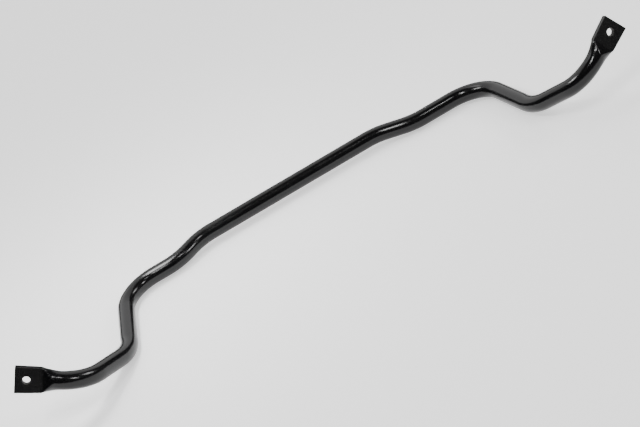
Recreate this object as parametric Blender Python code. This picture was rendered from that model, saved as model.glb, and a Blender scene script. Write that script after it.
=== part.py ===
"""Front sway bar of a car: one round spring-steel bar with its two ends forged flat and drilled.

Lengths are in metres. The bar is laid out with X along its straight centre section, its arms reaching
towards -Y and dropping towards -Z. It is then leaned back about X, so that it lies on the floor the way
the loose bar lies on a bench: on its shoulders and on its elbows.

Names along each half, from the middle outwards: the centre section, a shallow jog, the shoulder, the
corner, the arm, the elbow, the forearm, the knee and the paddle.
"""

import math

import bmesh
import bpy
from mathutils import Matrix, Vector

# The bar
BAR_DIAMETER = 0.028
JOG_RADIUS = 0.105  # bend radii are measured to the bar's centre line
CORNER_RADIUS = 0.067
ELBOW_RADIUS = 0.090
KNEE_RADIUS = 0.067

# Places where the straight runs of the centre line would meet: distance from the middle, reach, drop
SHOULDER_REACH = 0.0175
SHOULDER_DROP = 0.015
BENDS = {
    "left": {
        "jog_start": (0.1865, 0.0, 0.0),
        "jog_end": (0.2325, SHOULDER_REACH, SHOULDER_DROP),
        "corner": (0.337, SHOULDER_REACH, SHOULDER_DROP),
        "elbow": (0.366, 0.1715, 0.101),
        "knee": (0.4355, 0.270, 0.1035),
        "tip": (0.5205, 0.279, 0.0485),
    },
    "right": {
        "jog_start": (0.159, 0.0, 0.0),
        "jog_end": (0.223, SHOULDER_REACH, SHOULDER_DROP),
        "corner": (0.357, SHOULDER_REACH, SHOULDER_DROP),
        "elbow": (0.3745, 0.1715, 0.093),
        "knee": (0.4355, 0.270, 0.097),
        "tip": (0.5195, 0.279, 0.0435),
    },
}
BEND_RADII = (JOG_RADIUS, JOG_RADIUS, CORNER_RADIUS, ELBOW_RADIUS, KNEE_RADIUS)

# The forged ends
PADDLE_LENGTH = 0.037
PADDLE_WIDTH_AT_NECK = 0.0380
PADDLE_WIDTH_AT_TIP = 0.0400
PADDLE_THICKNESS = 0.010
PADDLE_TURN = math.radians(15)  # about its own length, away from facing straight along -Y
FLARE_LENGTH = 0.031
EDGE_CHAMFER = 0.001
HOLE_DIAMETER = 0.012
HOLE_FROM_TIP = 0.017

# Fineness
SIDES = 24  # a multiple of 4
ARC_STEP = math.radians(7)
FLARE_STEPS = 6
HOLE_SIDES = 32

FORWARD = Vector((0.0, -1.0, 0.0))


def clear_scene():
    for obj in list(bpy.data.objects):
        bpy.data.objects.remove(obj, do_unlink=True)


def coated_steel():
    """Semi-gloss black coating over steel."""
    material = bpy.data.materials.new("black_coating")
    material.use_nodes = True
    shader = material.node_tree.nodes["Principled BSDF"]
    shader.inputs["Base Color"].default_value = (0.011, 0.011, 0.012, 1.0)
    shader.inputs["Roughness"].default_value = 0.28
    shader.inputs["Metallic"].default_value = 0.0
    return material


def place(side, station):
    """A named place of the centre line as a point: left is -X, reach is -Y and drop is -Z."""
    distance, reach, drop = BENDS[side][station]
    return Vector((-distance if side == "left" else distance, -reach, -drop))


class Straight:
    def __init__(self, start, end):
        self.start = start
        self.direction = (end - start).normalized()
        self.length = (end - start).length

    def at(self, distance):
        return self.start + self.direction * distance, self.direction

    def stations(self):
        return [0.0]


class Bend:
    """A circular arc that starts along one direction and turns into another."""

    def __init__(self, start, before, after, radius):
        self.start = start
        self.before = before
        self.radius = radius
        self.angle = before.angle(after)
        self.axis = before.cross(after).normalized()
        self.centre = start + self.axis.cross(before) * radius
        self.length = radius * self.angle

    def at(self, distance):
        turn = Matrix.Rotation(distance / self.radius, 3, self.axis)
        return self.centre + turn @ (self.start - self.centre), turn @ self.before

    def stations(self):
        count = math.ceil(self.angle / ARC_STEP)
        return [self.length * i / count for i in range(count)]


class CentreLine:
    """The bar's centre line from the left tip to the right tip, as straight runs and arcs."""

    def __init__(self, corners, radii):
        self.pieces = []
        start = corners[0]
        for before, corner, after, radius in zip(corners, corners[1:], corners[2:], radii):
            incoming = (corner - before).normalized()
            outgoing = (after - corner).normalized()
            tangent = radius * math.tan(incoming.angle(outgoing) / 2)
            bend_start = corner - incoming * tangent
            self.pieces.append(Straight(start, bend_start))
            self.pieces.append(Bend(bend_start, incoming, outgoing, radius))
            start = corner + outgoing * tangent
        self.pieces.append(Straight(start, corners[-1]))
        self.length = sum(piece.length for piece in self.pieces)

    def at(self, distance):
        """The point and the direction at a distance from the left tip."""
        for piece in self.pieces[:-1]:
            if distance <= piece.length:
                return piece.at(distance)
            distance -= piece.length
        return self.pieces[-1].at(distance)

    def stations(self):
        """Where each piece starts, and the steps along each bend."""
        found, reached = [], 0.0
        for piece in self.pieces:
            found += [reached + step for step in piece.stations()]
            reached += piece.length
        return found

    def centre_section(self):
        """Where the middle straight run starts and ends."""
        middle = len(self.pieces) // 2
        start = sum(piece.length for piece in self.pieces[:middle])
        return start, start + self.pieces[middle].length


def bar_centre_line():
    outwards = list(BENDS["left"])
    left = [place("left", station) for station in reversed(outwards)]
    right = [place("right", station) for station in outwards]
    return CentreLine(left + right, BEND_RADII[::-1] + BEND_RADII)


def paddle_frame(side):
    """A paddle's tip, the direction it points in, its width direction and its front face's normal."""
    tip = place(side, "tip")
    outwards = (tip - place(side, "knee")).normalized()
    facing = (FORWARD - outwards * FORWARD.dot(outwards)).normalized()
    turn = PADDLE_TURN if side == "right" else -PADDLE_TURN
    normal = Matrix.Rotation(turn, 3, outwards) @ facing
    return tip, outwards, normal.cross(outwards), normal


def round_outline():
    """The bar's section, with as many points in each quarter as the paddle's section has."""
    first = 1.5  # the first point lies one and a half steps above the width direction
    angles = [math.tau * (first + i) / SIDES for i in range(SIDES)]
    radius = BAR_DIAMETER / 2
    return [Vector((radius * math.cos(a), radius * math.sin(a))) for a in angles]


def paddle_outline(width):
    """A chamfered rectangle, counter-clockwise from the right end of its front edge."""
    half_width, half_thickness = width / 2, PADDLE_THICKNESS / 2
    face_points = SIDES // 2 - 2
    inner = half_width - EDGE_CHAMFER
    front = [
        Vector((inner - 2 * inner * i / (face_points - 1), half_thickness))
        for i in range(face_points)
    ]
    left = [
        Vector((-half_width, half_thickness - EDGE_CHAMFER)),
        Vector((-half_width, EDGE_CHAMFER - half_thickness)),
    ]
    half_turn = front + left
    return half_turn + [-point for point in half_turn]


def outline_at(from_tip):
    """The section at a distance from the nearer tip: flat, then flaring into the round bar."""
    taper = min(from_tip / PADDLE_LENGTH, 1.0)
    width = PADDLE_WIDTH_AT_TIP + (PADDLE_WIDTH_AT_NECK - PADDLE_WIDTH_AT_TIP) * taper
    step = min(max((from_tip - PADDLE_LENGTH) / FLARE_LENGTH, 0.0), 1.0)
    roundness = step * step * (3 - 2 * step)
    flat = paddle_outline(width)
    return [a.lerp(b, roundness) for a, b in zip(flat, round_outline())]


def tip_outline():
    """The end face, set in by the chamfer all round."""
    half_width, half_thickness = PADDLE_WIDTH_AT_TIP / 2, PADDLE_THICKNESS / 2
    shrink = Vector((1 - EDGE_CHAMFER / half_width, 1 - EDGE_CHAMFER / half_thickness))
    return [point * shrink for point in paddle_outline(PADDLE_WIDTH_AT_TIP)]


def ring_distances(line):
    """Distances from the left tip of every section ring, without the end faces."""
    ends = [EDGE_CHAMFER]
    ends += [PADDLE_LENGTH + FLARE_LENGTH * i / FLARE_STEPS for i in range(FLARE_STEPS + 1)]
    shaped = ends[-1]
    round_part = [d for d in line.stations() if shaped + 0.002 < d < line.length - shaped - 0.002]
    return ends + round_part + [line.length - d for d in reversed(ends)]


def facing_directions(line, distances):
    """A direction across the bar at each ring, carried along without twist between the paddles.

    What is left over at the right paddle is taken up along the centre section, where the bar is round.
    """
    normal = paddle_frame("left")[3]
    carried = []
    for distance in distances:
        along = line.at(distance)[1]
        normal = (normal - along * normal.dot(along)).normalized()
        carried.append(normal)
    along, wanted = line.at(line.length)[1], paddle_frame("right")[3]
    left_over = math.atan2(along.dot(carried[-1].cross(wanted)), carried[-1].dot(wanted))
    start, end = line.centre_section()
    turned = []
    for distance, normal in zip(distances, carried):
        share = min(max((distance - start) / (end - start), 0.0), 1.0)
        along = line.at(distance)[1]
        turned.append(Matrix.Rotation(left_over * share, 3, along) @ normal)
    return turned


def add_ring(mesh, line, distance, normal, outline):
    point, along = line.at(distance)
    across = normal.cross(along)
    return [mesh.verts.new(point + across * p.x + normal * p.y) for p in outline]


def bar_mesh(line):
    """The whole bar as rings of vertices joined by bands of faces, closed by the two end faces."""
    distances = ring_distances(line)
    normals = facing_directions(line, distances)
    outlines = [outline_at(min(d, line.length - d)) for d in distances]
    distances = [0.0] + distances + [line.length]
    normals = [normals[0]] + normals + [normals[-1]]
    outlines = [tip_outline()] + outlines + [tip_outline()]

    mesh = bmesh.new()
    rings = [add_ring(mesh, line, *ring) for ring in zip(distances, normals, outlines)]
    for ring, following in zip(rings, rings[1:]):
        for i in range(SIDES):
            j = (i + 1) % SIDES
            mesh.faces.new((ring[i], ring[j], following[j], following[i]))
    mesh.faces.new(rings[0])
    mesh.faces.new(rings[-1])
    bmesh.ops.recalc_face_normals(mesh, faces=mesh.faces)

    data = bpy.data.meshes.new("sway_bar")
    mesh.to_mesh(data)
    mesh.free()
    return data


def drill(bar, side):
    """The link bolt's hole, square to the paddle's faces."""
    tip, outwards, across, normal = paddle_frame(side)
    mesh = bmesh.new()
    bmesh.ops.create_cone(
        mesh,
        cap_ends=True,
        segments=HOLE_SIDES,
        radius1=HOLE_DIAMETER / 2,
        radius2=HOLE_DIAMETER / 2,
        depth=3 * PADDLE_THICKNESS,
    )
    data = bpy.data.meshes.new("hole_cutter_" + side)
    mesh.to_mesh(data)
    mesh.free()
    cutter = bpy.data.objects.new("hole_cutter_" + side, data)
    bpy.context.collection.objects.link(cutter)
    turned = Matrix((across, -outwards, normal)).transposed().to_4x4()
    cutter.matrix_local = Matrix.Translation(tip - outwards * HOLE_FROM_TIP) @ turned
    cutter.parent = bar
    cutter.hide_render = True
    cutter.display_type = "WIRE"
    hole = bar.modifiers.new("hole_" + side, "BOOLEAN")
    hole.operation = "DIFFERENCE"
    hole.solver = "EXACT"
    hole.object = cutter


def lean_angle(line):
    """The slope of the line on which a side view of the bar rests, as the mean of its two halves."""
    shoulder_y, shoulder_z = -SHOULDER_REACH, -SHOULDER_DROP
    slopes = []
    for half in (0.0, 0.5):
        points = [line.at(line.length * (half + i / 400))[0] for i in range(200)]
        arm = [p for p in points if p.y < shoulder_y - BAR_DIAMETER]
        slopes.append(max(math.atan2(shoulder_z - p.z, shoulder_y - p.y) for p in arm))
    return sum(slopes) / len(slopes)


def lay_on_floor(bar, line):
    """Leans the bar back, then puts the origin under the middle of its bounding box."""
    bar.rotation_euler.x = -lean_angle(line)
    leaned = bar.rotation_euler.to_matrix()
    points = [leaned @ vertex.co for vertex in bar.data.vertices]
    low = Vector([min(p[axis] for p in points) for axis in range(3)])
    high = Vector([max(p[axis] for p in points) for axis in range(3)])
    bar.location = (-(low.x + high.x) / 2, -(low.y + high.y) / 2, -low.z)


def build_sway_bar():
    line = bar_centre_line()
    data = bar_mesh(line)
    data.materials.append(coated_steel())
    data.shade_smooth()
    data.set_sharp_from_angle(angle=math.radians(30))
    bar = bpy.data.objects.new("sway_bar", data)
    bpy.context.collection.objects.link(bar)
    lay_on_floor(bar, line)
    for side in BENDS:
        drill(bar, side)
    return bar


clear_scene()
build_sway_bar()
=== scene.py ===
import math

import bmesh
import bpy
import numpy as np
from mathutils import Matrix, Vector, noise


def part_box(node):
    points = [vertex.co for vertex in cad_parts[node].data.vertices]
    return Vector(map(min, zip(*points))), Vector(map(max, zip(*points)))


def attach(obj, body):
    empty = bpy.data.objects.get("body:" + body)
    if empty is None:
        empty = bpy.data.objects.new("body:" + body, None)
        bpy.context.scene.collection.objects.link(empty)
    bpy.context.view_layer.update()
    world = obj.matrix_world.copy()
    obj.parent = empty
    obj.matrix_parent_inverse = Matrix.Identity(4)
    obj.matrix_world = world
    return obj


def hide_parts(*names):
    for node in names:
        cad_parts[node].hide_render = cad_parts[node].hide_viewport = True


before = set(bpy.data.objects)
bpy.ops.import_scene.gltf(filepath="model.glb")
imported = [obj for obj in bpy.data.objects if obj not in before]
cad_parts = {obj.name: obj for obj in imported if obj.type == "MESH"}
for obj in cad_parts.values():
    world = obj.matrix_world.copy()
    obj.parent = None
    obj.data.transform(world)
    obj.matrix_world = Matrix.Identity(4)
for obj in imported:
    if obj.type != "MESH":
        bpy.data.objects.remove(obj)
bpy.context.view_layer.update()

# The looks of the sway bar: its finely shaped surface in place of the plain CAD solid, its coating,
# and the floor, camera and lights. Lengths are in metres. "From the tip" is the distance from a
# paddle's end along the centre line, "across" is along the paddle's width, and "height" is the
# distance out of its middle plane.

# The bar's route, as the CAD part gives it: distance from the middle, reach and drop of the places
# where the straight runs of the centre line would meet, from the middle outwards.
RADIUS = 0.014
SHOULDER_REACH = 0.0175
SHOULDER_DROP = 0.015
BENDS = {
    "left": [
        (0.1865, 0.0, 0.0),
        (0.2325, SHOULDER_REACH, SHOULDER_DROP),
        (0.337, SHOULDER_REACH, SHOULDER_DROP),
        (0.366, 0.1715, 0.101),
        (0.4355, 0.270, 0.1035),
        (0.5205, 0.279, 0.0485),
    ],
    "right": [
        (0.159, 0.0, 0.0),
        (0.223, SHOULDER_REACH, SHOULDER_DROP),
        (0.357, SHOULDER_REACH, SHOULDER_DROP),
        (0.3745, 0.1715, 0.093),
        (0.4355, 0.270, 0.097),
        (0.5195, 0.279, 0.0435),
    ],
}
BEND_RADII = [0.105, 0.105, 0.067, 0.090, 0.067]

# The forged ends. Each is pressed flat between two dies that slope away towards the bar, then trimmed.
PADDLE_HALF_WIDTH_TIP = 0.0200
PADDLE_HALF_WIDTH_NECK = 0.0190
PADDLE_LENGTH = 0.037
FLARE_LENGTH = 0.031
PADDLE_HALF_THICKNESS = 0.005
PADDLE_TURN = math.radians(15)
HOLE_RADIUS = 0.006
HOLE_FROM_TIP = 0.017
RAMP_START = 0.0405  # from the tip
RAMP_SLOPE = math.tan(math.radians(33))
RAMP_FILLET = 0.003
EDGE_ROUND = 0.0007  # of the trimmed edges
SHOULDER_ROUND = 0.0016  # where the ramp meets the round bar
SHOULDER_START, SHOULDER_BLEND = 0.034, 0.014  # from the tip, where one round turns into the other
END_ROUND = 0.0005  # of the sheared end's edges
RIM_ROUND = 0.0007  # of the hole's two rims

# The outline before pressing is |y|^n + |z|^n = 1: n is 2 on the round bar, high on the square paddle,
# and below 2, which gives a blunt diamond, in the neck between them. Starts are from the tip.
SQUARE = 14  # how far n is above 2 on the paddle
SQUARE_FADE_START, SQUARE_FADE = 0.026, 0.020
DIAMOND = 0.45  # how far n is below 2 in the neck
DIAMOND_START, DIAMOND_RISE = 0.036, 0.012
DIAMOND_FADE_START, DIAMOND_FADE = 0.052, 0.014

# Unevenness that the dies and the scale leave on the paddles: coarse and fine waves, per metre
FORGING_RELIEF = 0.00003
RELIEF_WAVES = [(0.65, 170.0), (0.35, 480.0)]
RELIEF_END, RELIEF_FADE = 0.034, 0.010  # from the tip

# Where the coating looks different: the pressed faces, their worn edges and the holes' walls, which are
# also painted a lighter grey as painted light
NECK_END = 0.065  # from the tip
PRESSED_END, PRESSED_FADE = 0.038, 0.008  # from the tip
WORN_END = 0.045  # from the tip
WORN_WIDTH, WORN_FADE = 0.0004, 0.0008  # from the faces' edges
FACE_MARGIN = 0.0004  # below the paddle's face, which takes in its relief and rounded edges
BORE_MARGIN = 0.0001

# Fineness
SIDES = 144  # a multiple of 4
SIDE_SHARE, EDGE_SHARE = 0.16, 0.36  # of a quarter's sides, up to where the paddle's side and edge end
FAN_START, FAN_FADE = 0.038, 0.022  # from the tip, where the sides' even spread round the bar begins
OUTLINE_HALVINGS = 40
PADDLE_STEP = 0.0007
SHAPED_LENGTH = 0.060  # from the tip, which has rings a paddle step apart
RING_GAP = 0.002  # the least from those rings to the next one
ARC_STEP = math.radians(2.5)
STRAIGHT_STEP = 0.012
END_RINGS = 5
HOLE_BLOCK = 11  # columns either side of the hole's centre that its block of the paddle face takes up
BLOCK_STRETCH = 1.2  # columns are this much further apart than rings, which keeps the block square
HOLE_LOOPS = 8
RIM_STEPS = 6
WALL_RINGS, WALL_SHARE = 5, 0.6  # of the hole's straight wall, and how far up its half they reach
SHARP_ANGLE = math.radians(32)


def place(side, station):
    """A corner of the route as a point: left is -X, reach is -Y and drop is -Z."""
    distance, reach, drop = station
    return np.array([-distance if side == "left" else distance, -reach, -drop])


def unit(vector):
    return vector / np.linalg.norm(vector)


def turned(vector, axis, angle):
    """The vector turned about a unit axis by the right-hand rule."""
    along = axis * vector.dot(axis)
    return along + (vector - along) * math.cos(angle) + np.cross(axis, vector) * math.sin(angle)


def route():
    """Distances from the left tip along the centre line, with the points and directions there."""
    left = [place("left", station) for station in reversed(BENDS["left"])]
    corners = left + [place("right", station) for station in BENDS["right"]]
    radii = BEND_RADII[::-1] + BEND_RADII
    distances, points, directions = [], [], []
    reached, start = 0.0, corners[0]

    def add(distance, point, direction):
        distances.append(distance)
        points.append(point)
        directions.append(direction)

    for before, corner, after, radius in zip(corners, corners[1:], corners[2:], radii):
        incoming, outgoing = unit(corner - before), unit(after - corner)
        angle = math.acos(incoming.dot(outgoing))
        bend_start = corner - incoming * radius * math.tan(angle / 2)
        length = np.linalg.norm(bend_start - start)
        count = math.ceil(length / STRAIGHT_STEP)
        for i in range(count):
            add(reached + length * i / count, start + incoming * length * i / count, incoming)
        reached += length
        axis = unit(np.cross(incoming, outgoing))
        centre = bend_start + np.cross(axis, incoming) * radius
        count = math.ceil(angle / ARC_STEP)
        for i in range(count):
            turn = angle * i / count
            point = centre + turned(bend_start - centre, axis, turn)
            add(reached + radius * turn, point, turned(incoming, axis, turn))
        reached += radius * angle
        start = centre + turned(bend_start - centre, axis, angle)
    outgoing = unit(corners[-1] - start)
    length = np.linalg.norm(corners[-1] - start)
    count = math.ceil(length / STRAIGHT_STEP)
    for i in range(count + 1):
        add(reached + length * i / count, start + outgoing * length * i / count, outgoing)
    return np.array(distances), np.array(points), np.array(directions)


def paddle_normal(side):
    """The direction that a paddle's front face looks in."""
    outwards = unit(place(side, BENDS[side][5]) - place(side, BENDS[side][4]))
    forward = np.array([0.0, -1.0, 0.0])
    facing = unit(forward - outwards * forward.dot(outwards))
    return turned(facing, outwards, PADDLE_TURN if side == "right" else -PADDLE_TURN)


def smooth_step(x):
    x = np.clip(x, 0.0, 1.0)
    return x * x * (3 - 2 * x)


def half_width(from_tip):
    taper = np.clip(from_tip / PADDLE_LENGTH, 0, 1)
    wide = PADDLE_HALF_WIDTH_TIP + (PADDLE_HALF_WIDTH_NECK - PADDLE_HALF_WIDTH_TIP) * taper
    return wide + (RADIUS - wide) * smooth_step((from_tip - PADDLE_LENGTH) / FLARE_LENGTH)


def squareness(from_tip):
    """Exponent of the section's outline before pressing."""
    square = SQUARE * (1 - smooth_step((from_tip - SQUARE_FADE_START) / SQUARE_FADE)) ** 2
    diamond = smooth_step((from_tip - DIAMOND_START) / DIAMOND_RISE) * (
        1 - smooth_step((from_tip - DIAMOND_FADE_START) / DIAMOND_FADE)
    )
    return 2 + square - DIAMOND * diamond


def press_height(from_tip):
    """Half the gap left by the two dies: level over the paddle, then opening out towards the bar."""
    beyond = from_tip - RAMP_START
    eased = RAMP_SLOPE * (beyond + RAMP_FILLET) ** 2 / (4 * RAMP_FILLET)
    rise = np.where(beyond > RAMP_FILLET, RAMP_SLOPE * beyond, eased)
    return PADDLE_HALF_THICKNESS + np.where(beyond < -RAMP_FILLET, 0.0, rise)


def section_gap(from_tip, y, z):
    """Below zero inside the section, above zero outside, and close to a distance near its outline."""
    a, b, power = half_width(from_tip), RADIUS, squareness(from_tip)
    fy, fz = np.abs(y) / a, np.abs(z) / b
    ring = np.maximum((fy**power + fz**power) ** (1 / power), 1e-6)
    slope = np.hypot((fy / ring) ** (power - 1) / a, (fz / ring) ** (power - 1) / b)
    sides = (ring - 1) / slope
    faces = np.abs(z) - press_height(from_tip)
    blend = smooth_step((from_tip - SHOULDER_START) / SHOULDER_BLEND)
    radius = EDGE_ROUND + (SHOULDER_ROUND - EDGE_ROUND) * blend
    corner = np.hypot(np.maximum(sides + radius, 0), np.maximum(faces + radius, 0))
    return np.minimum(np.maximum(sides, faces), -radius) + corner


def fan(from_tip):
    """For one quarter of the section: where each ray to the outline starts, and its angle."""
    count = SIDES // 4
    share = (np.arange(count) + 0.5) / count
    edge = half_width(from_tip) - EDGE_ROUND * 1.5
    side = np.clip(share / SIDE_SHARE, 0, 1)
    bend = np.clip((share - SIDE_SHARE) / (EDGE_SHARE - SIDE_SHARE), 0, 1)
    top = np.clip((share - EDGE_SHARE) / (1 - EDGE_SHARE), 0, 1)
    start_y = edge * (1 - top)
    start_z = (PADDLE_HALF_THICKNESS - EDGE_ROUND * 1.5) * side
    angle = math.pi / 2 * bend
    flat = 1 - smooth_step((from_tip - FAN_START) / FAN_FADE)
    even = math.pi / 2 * share
    return start_y * flat, start_z * flat, angle * flat + even * (1 - flat)


def outline(from_tip):
    """The section's outline as (across, height) points, counter-clockwise from the across direction."""
    start_y, start_z, angle = fan(from_tip)
    dy, dz = np.cos(angle), np.sin(angle)
    low, high = np.zeros_like(angle), np.full_like(angle, 2 * PADDLE_HALF_WIDTH_TIP)
    for _ in range(OUTLINE_HALVINGS):
        middle = (low + high) / 2
        inside = section_gap(from_tip, start_y + dy * middle, start_z + dz * middle) < 0
        low, high = np.where(inside, middle, low), np.where(inside, high, middle)
    quarter = np.stack([start_y + dy * low, start_z + dz * low], 1)
    half = np.concatenate([quarter, quarter[::-1] * (-1, 1)])
    return np.concatenate([half, -half])


def ring_distances(length):
    """Distances from the left tip of the finely spaced rings at each end of the bar."""
    ends = END_ROUND * (1 - np.cos(np.linspace(0, math.pi / 2, END_RINGS)))
    shaped = np.arange(END_ROUND + PADDLE_STEP, SHAPED_LENGTH, PADDLE_STEP)
    near = np.concatenate([ends, shaped])
    return near, length - near[::-1]


def carried_normals(directions, distances):
    """A direction across the bar at each ring, carried along without twist from paddle to paddle.

    What is left over at the right paddle is taken up along the middle of the bar, where it is round.
    """
    normal, normals = paddle_normal("left"), []
    for direction in directions:
        normal = unit(normal - direction * normal.dot(direction))
        normals.append(normal)
    last = paddle_normal("right")
    left_over = math.atan2(directions[-1].dot(np.cross(normal, last)), normal.dot(last))
    share = smooth_step((distances / distances[-1] - 0.3) / 0.4)
    return [turned(n, d, left_over * s) for n, d, s in zip(normals, directions, share)]


def inset(points, amount):
    """A closed counter-clockwise outline moved inwards by an amount."""
    along = np.roll(points, -1, 0) - np.roll(points, 1, 0)
    along /= np.linalg.norm(along, axis=1)[:, None]
    return points + np.stack([-along[:, 1], along[:, 0]], 1) * amount


def new_mesh(name, vertices, faces):
    mesh = bpy.data.meshes.new(name)
    mesh.from_pydata(vertices, [], faces)
    mesh.update()
    return mesh


def block_loop(rings, columns):
    """The vertices round the edge of a block of the bar's grid of rings and columns, in order."""
    first, last = rings[0], rings[-1]
    loop = [first * SIDES + column for column in columns]
    loop += [ring * SIDES + columns[-1] for ring in rings[1:]]
    loop += [last * SIDES + column for column in columns[-2::-1]]
    loop += [ring * SIDES + columns[0] for ring in rings[-2:0:-1]]
    return loop


def hole_profile():
    """Radius and height of each loop of the bolt hole's surface, from the front rim to the back rim."""
    turns = np.linspace(math.pi / 2, 0, RIM_STEPS + 1)
    inwards = HOLE_RADIUS + RIM_ROUND * (1 - np.cos(turns))
    down = PADDLE_HALF_THICKNESS - RIM_ROUND * (1 - np.sin(turns))
    front = list(zip(inwards, down))
    heights = np.linspace(WALL_SHARE, -WALL_SHARE, WALL_RINGS) * PADDLE_HALF_THICKNESS
    wall = [(HOLE_RADIUS, height) for height in heights]
    back = [(radius, -height) for radius, height in reversed(front)]
    return front + wall + back


def add_hole(vertices, faces, rings, side):
    """Fills a square block of both paddle faces by loops round the hole, and lines the hole."""
    tip, across, outwards, normal = paddle_axes(side)
    centre = tip - outwards * HOLE_FROM_TIP
    middle = SIDES // 4
    columns = list(range(middle - HOLE_BLOCK, middle + HOLE_BLOCK))
    front = block_loop(rings, columns)
    back = block_loop(rings, [SIDES - 1 - column for column in columns])
    edge = np.array([vertices[index] for index in front]) - centre
    edge -= np.outer(edge @ normal, normal)
    rays = edge / np.linalg.norm(edge, axis=1)[:, None]

    loops = [front]

    def add_loop(points):
        loops.append(list(range(len(vertices), len(vertices) + len(points))))
        vertices.extend(points)

    profile = hole_profile()
    rim = rays * profile[0][0]
    for share in np.linspace(0, 1, HOLE_LOOPS + 1)[1:-1]:
        add_loop(centre + edge + (rim - edge) * share + normal * PADDLE_HALF_THICKNESS)
    for radius, height in profile:
        add_loop(centre + rays * radius + normal * height)
    for share in np.linspace(1, 0, HOLE_LOOPS + 1)[1:-1]:
        add_loop(centre + edge + (rim - edge) * share - normal * PADDLE_HALF_THICKNESS)
    loops.append(back)
    for loop, following in zip(loops, loops[1:]):
        for i in range(len(loop)):
            j = (i + 1) % len(loop)
            faces.append((loop[i], loop[j], following[j], following[i]))


def bar_mesh():
    """The whole bar as one closed mesh, in the CAD part's own layout."""
    distances, points, directions = route()
    length = distances[-1]
    near, far = ring_distances(length)
    round_part = (distances > near[-1] + RING_GAP) & (distances < far[0] - RING_GAP)
    ring_at = np.concatenate([near, distances[round_part], far])
    near_points = points[0] + np.outer(near, directions[0])
    far_points = points[-1] - np.outer(length - far, directions[-1])
    ring_points = np.concatenate([near_points, points[round_part], far_points])
    near_directions = np.tile(directions[0], (len(near), 1))
    far_directions = np.tile(directions[-1], (len(far), 1))
    ring_directions = np.concatenate([near_directions, directions[round_part], far_directions])
    normals = carried_normals(ring_directions, ring_at)

    vertices = []
    for at, point, direction, normal in zip(ring_at, ring_points, ring_directions, normals):
        from_tip = min(at, length - at)
        section = outline(from_tip)
        if from_tip < END_ROUND:
            rise = math.sqrt(END_ROUND**2 - (END_ROUND - from_tip) ** 2)
            section = inset(section, END_ROUND - rise)
        across = np.cross(normal, direction)
        wide, high = np.outer(section[:, 0], across), np.outer(section[:, 1], normal)
        vertices.extend(point + wide + high)

    # Each hole's block of rings, which is left open here and filled by the hole's own loops
    reach = HOLE_BLOCK * PADDLE_STEP * BLOCK_STRETCH
    blocks = {
        "left": np.flatnonzero(np.abs(ring_at - HOLE_FROM_TIP) < reach),
        "right": np.flatnonzero(np.abs(length - ring_at - HOLE_FROM_TIP) < reach),
    }
    block_rings = {int(ring) for rings in blocks.values() for ring in rings[:-1]}
    middle = SIDES // 4
    front = set(range(middle - HOLE_BLOCK, middle + HOLE_BLOCK - 1))
    block_columns = front | {SIDES - 2 - column for column in front}

    faces = []
    for ring in range(len(ring_at) - 1):
        start, following = ring * SIDES, (ring + 1) * SIDES
        for i in range(SIDES):
            if ring in block_rings and i in block_columns:
                continue
            j = (i + 1) % SIDES
            faces.append((start + i, start + j, following + j, following + i))
    faces.append(tuple(range(SIDES)))
    faces.append(tuple(range(len(vertices) - SIDES, len(vertices))))
    for side, rings in blocks.items():
        add_hole(vertices, faces, [int(ring) for ring in rings], side)

    mesh = new_mesh("bar", vertices, faces)
    shape = bmesh.new()
    shape.from_mesh(mesh)
    bmesh.ops.recalc_face_normals(shape, faces=shape.faces)
    shape.to_mesh(mesh)
    shape.free()
    return mesh


def from_paddle(mesh, side):
    """Every vertex as distances from one paddle's tip, across it and out of its middle plane."""
    tip, across, outwards, normal = paddle_axes(side)
    offsets = np.array([vertex.co for vertex in mesh.vertices]) - tip
    return -(offsets @ outwards), offsets @ across, offsets @ normal


def near_paddle(from_tip, across, height, reach):
    """Which vertices belong to a paddle and its neck, up to a reach from the tip."""
    return (np.abs(across) < 0.03) & (np.abs(height) < 0.012) & (from_tip < reach)


def add_forging_relief(mesh):
    """Slight unevenness that the dies and the scale leave under the coating, on the paddles only."""
    moved = []
    for side in BENDS:
        from_tip, across, height = from_paddle(mesh, side)
        near = near_paddle(from_tip, across, height, RELIEF_END + RELIEF_FADE)
        for index in np.flatnonzero(near):
            vertex = mesh.vertices[int(index)]
            share = 1 - float(smooth_step((from_tip[index] - RELIEF_END) / RELIEF_FADE))
            waves = sum(part * noise.noise(vertex.co * scale) for part, scale in RELIEF_WAVES)
            moved.append((vertex, vertex.normal * waves * FORGING_RELIEF * share))
    for vertex, move in moved:
        vertex.co += move


def mark_finish(mesh):
    """Marks for the coating: the pressed faces, the worn edges, and the bolt holes' walls, which also
    carry painted light.
    """
    marks = {name: np.zeros(len(mesh.vertices)) for name in ("pressed", "worn", "bore")}
    for side in BENDS:
        from_tip, across, height = from_paddle(mesh, side)
        near = near_paddle(from_tip, across, height, NECK_END)
        from_hole = np.hypot(from_tip - HOLE_FROM_TIP, across)
        inside = near & (from_hole < HOLE_RADIUS + BORE_MARGIN)
        on_face = near & (np.abs(height) > PADDLE_HALF_THICKNESS - FACE_MARGIN) & ~inside
        pressed = on_face * (1 - smooth_step((from_tip - PRESSED_END) / PRESSED_FADE))
        to_side = half_width(from_tip) - np.abs(across)
        to_edge = np.minimum(np.minimum(to_side, from_tip), from_hole - HOLE_RADIUS)
        worn = on_face * (1 - smooth_step((to_edge - WORN_WIDTH) / WORN_FADE))
        worn *= from_tip < WORN_END
        marks["pressed"] = np.maximum(marks["pressed"], pressed)
        marks["worn"] = np.maximum(marks["worn"], worn)
        marks["bore"] = np.maximum(marks["bore"], inside * 1.0)
    for name, values in marks.items():
        attribute = mesh.attributes.new(name, "FLOAT", "POINT")
        attribute.data.foreach_set("value", values.astype(np.float32))


def paddle_axes(side):
    """A paddle's tip, and its directions across, outwards and out of its front face."""
    tip = place(side, BENDS[side][5])
    outwards = unit(tip - place(side, BENDS[side][4]))
    normal = paddle_normal(side)
    return tip, np.cross(normal, outwards), outwards, normal


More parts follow.
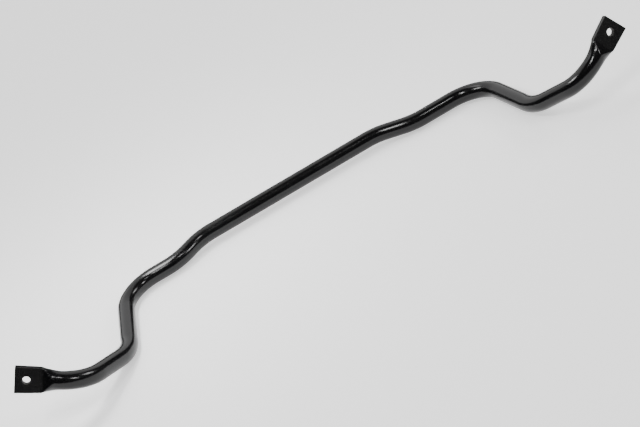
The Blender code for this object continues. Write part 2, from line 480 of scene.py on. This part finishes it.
def lean_angle():
    """The slope of the line on which a side view of the bar rests, as the mean of its two halves."""
    _, points, _ = route()
    slopes = []
    for side in (-1, 1):
        arm = points[(points[:, 0] * side > 0) & (points[:, 1] < -SHOULDER_REACH - 2 * RADIUS)]
        slopes.append(np.arctan2(-SHOULDER_DROP - arm[:, 2], -SHOULDER_REACH - arm[:, 1]).max())
    return sum(slopes) / 2


def lay_on_floor(bar):
    """Leans the bar back and moves it to where the CAD part lies."""
    bar.data.transform(Matrix.Rotation(-lean_angle(), 4, "X"))
    points = np.array([vertex.co for vertex in bar.data.vertices])
    low, high = points.min(0), points.max(0)
    cad_low, cad_high = (np.array(corner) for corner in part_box("sway_bar"))
    shift = (cad_low + cad_high - low - high) / 2
    bar.data.transform(Matrix.Translation((shift[0], shift[1], cad_low[2] - low[2])))


def build_bar():
    bar = bpy.data.objects.new("bar_surface", bar_mesh())
    bpy.context.scene.collection.objects.link(bar)
    add_forging_relief(bar.data)
    mark_finish(bar.data)
    lay_on_floor(bar)
    bar.data.materials.clear()
    bar.data.materials.append(black_coating())
    bar.data.shade_smooth()
    bar.data.set_sharp_from_angle(angle=SHARP_ANGLE)
    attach(bar, "root")
    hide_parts("sway_bar")
    return bar


# Linear colours of the coating, from its black to where it's dusty, specked or worn thin, and the
# lighter grey painted on the holes' walls as painted light
BLACK = (0.0022, 0.0022, 0.0026, 1)
DUSTY = (0.0065, 0.0064, 0.0064, 1)
SPECKED = (0.05, 0.049, 0.047, 1)
WORN_THIN = (0.045, 0.043, 0.041, 1)
HOLE_WALL_PAINTED_LIGHT = (0.05, 0.048, 0.046, 1)


def principled(name):
    material = bpy.data.materials.new(name)
    material.use_nodes = True
    return material, material.node_tree.nodes, material.node_tree.links


def add_noise(nodes, links, place_on_bar, scale, detail, low, high):
    """Noise of a scale per metre, spread so that its middle range goes from low to high."""
    texture = nodes.new("ShaderNodeTexNoise")
    texture.inputs["Scale"].default_value = scale
    texture.inputs["Detail"].default_value = detail
    texture.inputs["Roughness"].default_value = 0.6
    links.new(place_on_bar, texture.inputs["Vector"])
    spread = nodes.new("ShaderNodeMapRange")
    spread.inputs["From Min"].default_value = 0.3
    spread.inputs["From Max"].default_value = 0.7
    spread.inputs["To Min"].default_value = low
    spread.inputs["To Max"].default_value = high
    links.new(texture.outputs["Fac"], spread.inputs["Value"])
    return spread.outputs["Result"]


def add_mark(nodes, name):
    """One of the marks that mark_finish leaves on the surface."""
    mark = nodes.new("ShaderNodeAttribute")
    mark.attribute_name = name
    return mark.outputs["Fac"]


def combine(nodes, links, operation, first, second):
    """A sum, product or the like of two values, each a socket or a number."""
    math_node = nodes.new("ShaderNodeMath")
    math_node.operation = operation
    for value, socket in zip((first, second), math_node.inputs):
        if isinstance(value, float):
            socket.default_value = value
        else:
            links.new(value, socket)
    return math_node.outputs["Value"]


def blend_colour(nodes, links, share, first, second):
    """A colour between two, each a socket or a colour."""
    mix = nodes.new("ShaderNodeMix")
    mix.data_type = "RGBA"
    links.new(share, mix.inputs[0])
    for value, socket in zip((first, second), (mix.inputs[6], mix.inputs[7])):
        if isinstance(value, tuple):
            socket.default_value = value
        else:
            links.new(value, socket)
    return mix.outputs[2]


def black_coating():
    """Semi-gloss black coating: orange peel, dust, duller pressed faces, thin edges, and bolt holes
    whose walls are painted lighter as painted light.
    """
    material, nodes, links = principled("black_coating")
    shader = nodes["Principled BSDF"]
    on_bar = nodes.new("ShaderNodeTexCoord").outputs["Object"]
    pressed, worn, bore = (add_mark(nodes, name) for name in ("pressed", "worn", "bore"))

    def noisy(scale, detail, low, high):
        return add_noise(nodes, links, on_bar, scale, detail, low, high)

    def times(first, second):
        return combine(nodes, links, "MULTIPLY", first, second)

    def plus(first, second):
        return combine(nodes, links, "ADD", first, second)

    # Colour: near black, with settled dust, specks and thin coating on the edges
    dust = times(noisy(28.0, 4.0, 0.0, 1.0), noisy(900.0, 3.0, 0.2, 1.0))
    colour = blend_colour(nodes, links, dust, BLACK, DUSTY)
    specks = times(noisy(1500.0, 2.0, -3.2, 1.0), pressed)
    colour = blend_colour(nodes, links, specks, colour, SPECKED)
    thin = times(worn, noisy(420.0, 4.0, -0.3, 0.9))
    colour = blend_colour(nodes, links, thin, colour, WORN_THIN)
    # Painted light: the holes' walls are painted a lighter grey for the light they catch
    colour = blend_colour(nodes, links, bore, colour, HOLE_WALL_PAINTED_LIGHT)
    links.new(colour, shader.inputs["Base Color"])

    # Gloss: even on the round bar, dull on the pressed faces and in the holes
    gloss = plus(noisy(45.0, 3.0, 0.14, 0.19), noisy(700.0, 2.0, -0.02, 0.03))
    gloss = plus(gloss, times(pressed, noisy(1100.0, 3.0, 0.02, 0.14)))
    gloss = plus(gloss, times(bore, 0.4))
    links.new(gloss, shader.inputs["Roughness"])
    dull = plus(times(pressed, -0.24), times(bore, -0.22))
    links.new(plus(dull, 0.34), shader.inputs["Specular IOR Level"])

    # Surface: orange peel everywhere, scale pits under the coating on the pressed faces
    peel = nodes.new("ShaderNodeBump")
    peel.inputs["Strength"].default_value = 0.05
    peel.inputs["Distance"].default_value = 0.0002
    links.new(noisy(620.0, 2.0, 0.0, 1.0), peel.inputs["Height"])
    pits = nodes.new("ShaderNodeBump")
    pits.inputs["Distance"].default_value = 0.00025
    links.new(times(pressed, 0.45), pits.inputs["Strength"])
    links.new(noisy(1300.0, 4.0, 0.0, 1.0), pits.inputs["Height"])
    links.new(peel.outputs["Normal"], pits.inputs["Normal"])
    links.new(pits.outputs["Normal"], shader.inputs["Normal"])
    return material


FLOOR_SIZE = 16.0
FLOOR_CENTRE = (0.0, 1.0, 0.0)  # of the pale round part, which glows faintly as painted light
FLOOR_PALE_RADIUS = 2.2
FLOOR_FADE = 0.5
# The grey well away from the bar is painted shade: a dark floor standing in for the dim room the bar
# reflects
FLOOR_PALE, FLOOR_PAINTED_SHADE = 0.86, 0.10
FLOOR_ROUGHNESS = 0.8
FLOOR_PAINTED_GLOW = 0.9  # painted light: the floor's glow, as a share of the floor's colour


def pale_floor():
    """Pale round the bar with a faint glow of painted light that lifts its shadows, fading to a grey of
    painted shade well away from it.
    """
    material, nodes, links = principled("pale_floor")
    shader = nodes["Principled BSDF"]
    shader.inputs["Roughness"].default_value = FLOOR_ROUGHNESS
    shader.inputs["Emission Color"].default_value = (1, 1, 1, 1)
    place_on_floor = nodes.new("ShaderNodeTexCoord")
    distance = nodes.new("ShaderNodeVectorMath")
    distance.operation = "DISTANCE"
    distance.inputs[1].default_value = FLOOR_CENTRE
    fade = nodes.new("ShaderNodeMapRange")
    fade.interpolation_type = "SMOOTHSTEP"
    fade.inputs["From Min"].default_value = FLOOR_PALE_RADIUS
    fade.inputs["From Max"].default_value = FLOOR_PALE_RADIUS + FLOOR_FADE
    fade.inputs["To Min"].default_value = FLOOR_PALE
    fade.inputs["To Max"].default_value = FLOOR_PAINTED_SHADE
    glow = nodes.new("ShaderNodeMath")
    glow.operation = "MULTIPLY"
    glow.inputs[1].default_value = FLOOR_PAINTED_GLOW
    links.new(place_on_floor.outputs["Object"], distance.inputs[0])
    links.new(distance.outputs["Value"], fade.inputs["Value"])
    links.new(fade.outputs["Result"], shader.inputs["Base Color"])
    links.new(fade.outputs["Result"], glow.inputs[0])
    links.new(glow.outputs["Value"], shader.inputs["Emission Strength"])
    return material


def add_floor():
    half = FLOOR_SIZE / 2
    corners = [(-half, -half, 0), (half, -half, 0), (half, half, 0), (-half, half, 0)]
    floor = bpy.data.objects.new("floor", new_mesh("floor", corners, [(0, 1, 2, 3)]))
    floor.data.materials.append(pale_floor())
    bpy.context.scene.collection.objects.link(floor)


# The view: at the middle of the bar, from in front of it, above it and a little to its left
VIEW_TARGET = (-0.0006, 0.0, 0.0212)
VIEW_AZIMUTH = math.radians(-5.558)
VIEW_ELEVATION = math.radians(27.910)
VIEW_ROLL = math.radians(-27.954)
VIEW_DISTANCE = 2.1964
VIEW_LENS = 77.387


def direction_at(azimuth, elevation):
    """The direction at an azimuth from straight in front, towards +X, and an elevation."""
    level = math.cos(elevation)
    return Vector((math.sin(azimuth) * level, -math.cos(azimuth) * level, math.sin(elevation)))


def add_camera():
    data = bpy.data.cameras.new("camera")
    data.lens = VIEW_LENS
    camera = bpy.data.objects.new("camera", data)
    bpy.context.scene.collection.objects.link(camera)
    back = direction_at(VIEW_AZIMUTH, VIEW_ELEVATION)
    upright = (-back).to_track_quat("-Z", "Y").to_matrix().to_4x4()
    roll = Matrix.Rotation(VIEW_ROLL, 4, "Z")
    camera.matrix_world = Matrix.Translation(Vector(VIEW_TARGET) + back * VIEW_DISTANCE) @ upright @ roll
    bpy.context.scene.camera = camera


def add_softbox(name, aim, azimuth, elevation, distance, size, radiance):
    """A rectangular light that faces a point from an azimuth and elevation in degrees."""
    towards = direction_at(math.radians(azimuth), math.radians(elevation))
    data = bpy.data.lights.new(name, "AREA")
    data.shape = "RECTANGLE"
    data.size, data.size_y = size
    data.energy = radiance * math.pi * size[0] * size[1]
    light = bpy.data.objects.new(name, data)
    light.location = Vector(aim) + towards * distance
    light.rotation_euler = towards.to_track_quat("Z", "Y").to_euler()
    bpy.context.scene.collection.objects.link(light)


def add_lights():
    """Softboxes ahead and at the right, one close above the left half, and a wall of light behind."""
    world = bpy.data.worlds.new("studio")
    world.use_nodes = True
    world.node_tree.nodes["Background"].inputs["Color"].default_value = (0.05, 0.05, 0.05, 1)
    bpy.context.scene.world = world
    # Aim, azimuth, elevation, distance, size and radiance
    add_softbox("long_box", (0.1, 0.1, 0), -25, 57, 3.0, (0.38, 0.9), 28)
    add_softbox("top_box", (-0.29, 0.12, 0), 180, 87, 0.64, (0.14, 0.30), 30)
    add_softbox("front_right_box", (0, 0, 0), 28, 56, 6.0, (0.5, 0.6), 34)
    add_softbox("low_right_box", (0, 0, 0), 42, 31, 6.0, (0.9, 0.9), 26)
    add_softbox("right_box", (0, 0, 0), 87, 29, 6.0, (2.0, 1.1), 14)
    add_softbox("overhead_fill", (0, 0, 0), -150, 62, 6.0, (2.4, 1.6), 3)
    add_softbox("back_wall", (0, 0, 0), 180, 44, 6.0, (12.0, 7.0), 1.4)


build_bar()
add_floor()
add_camera()
add_lights()
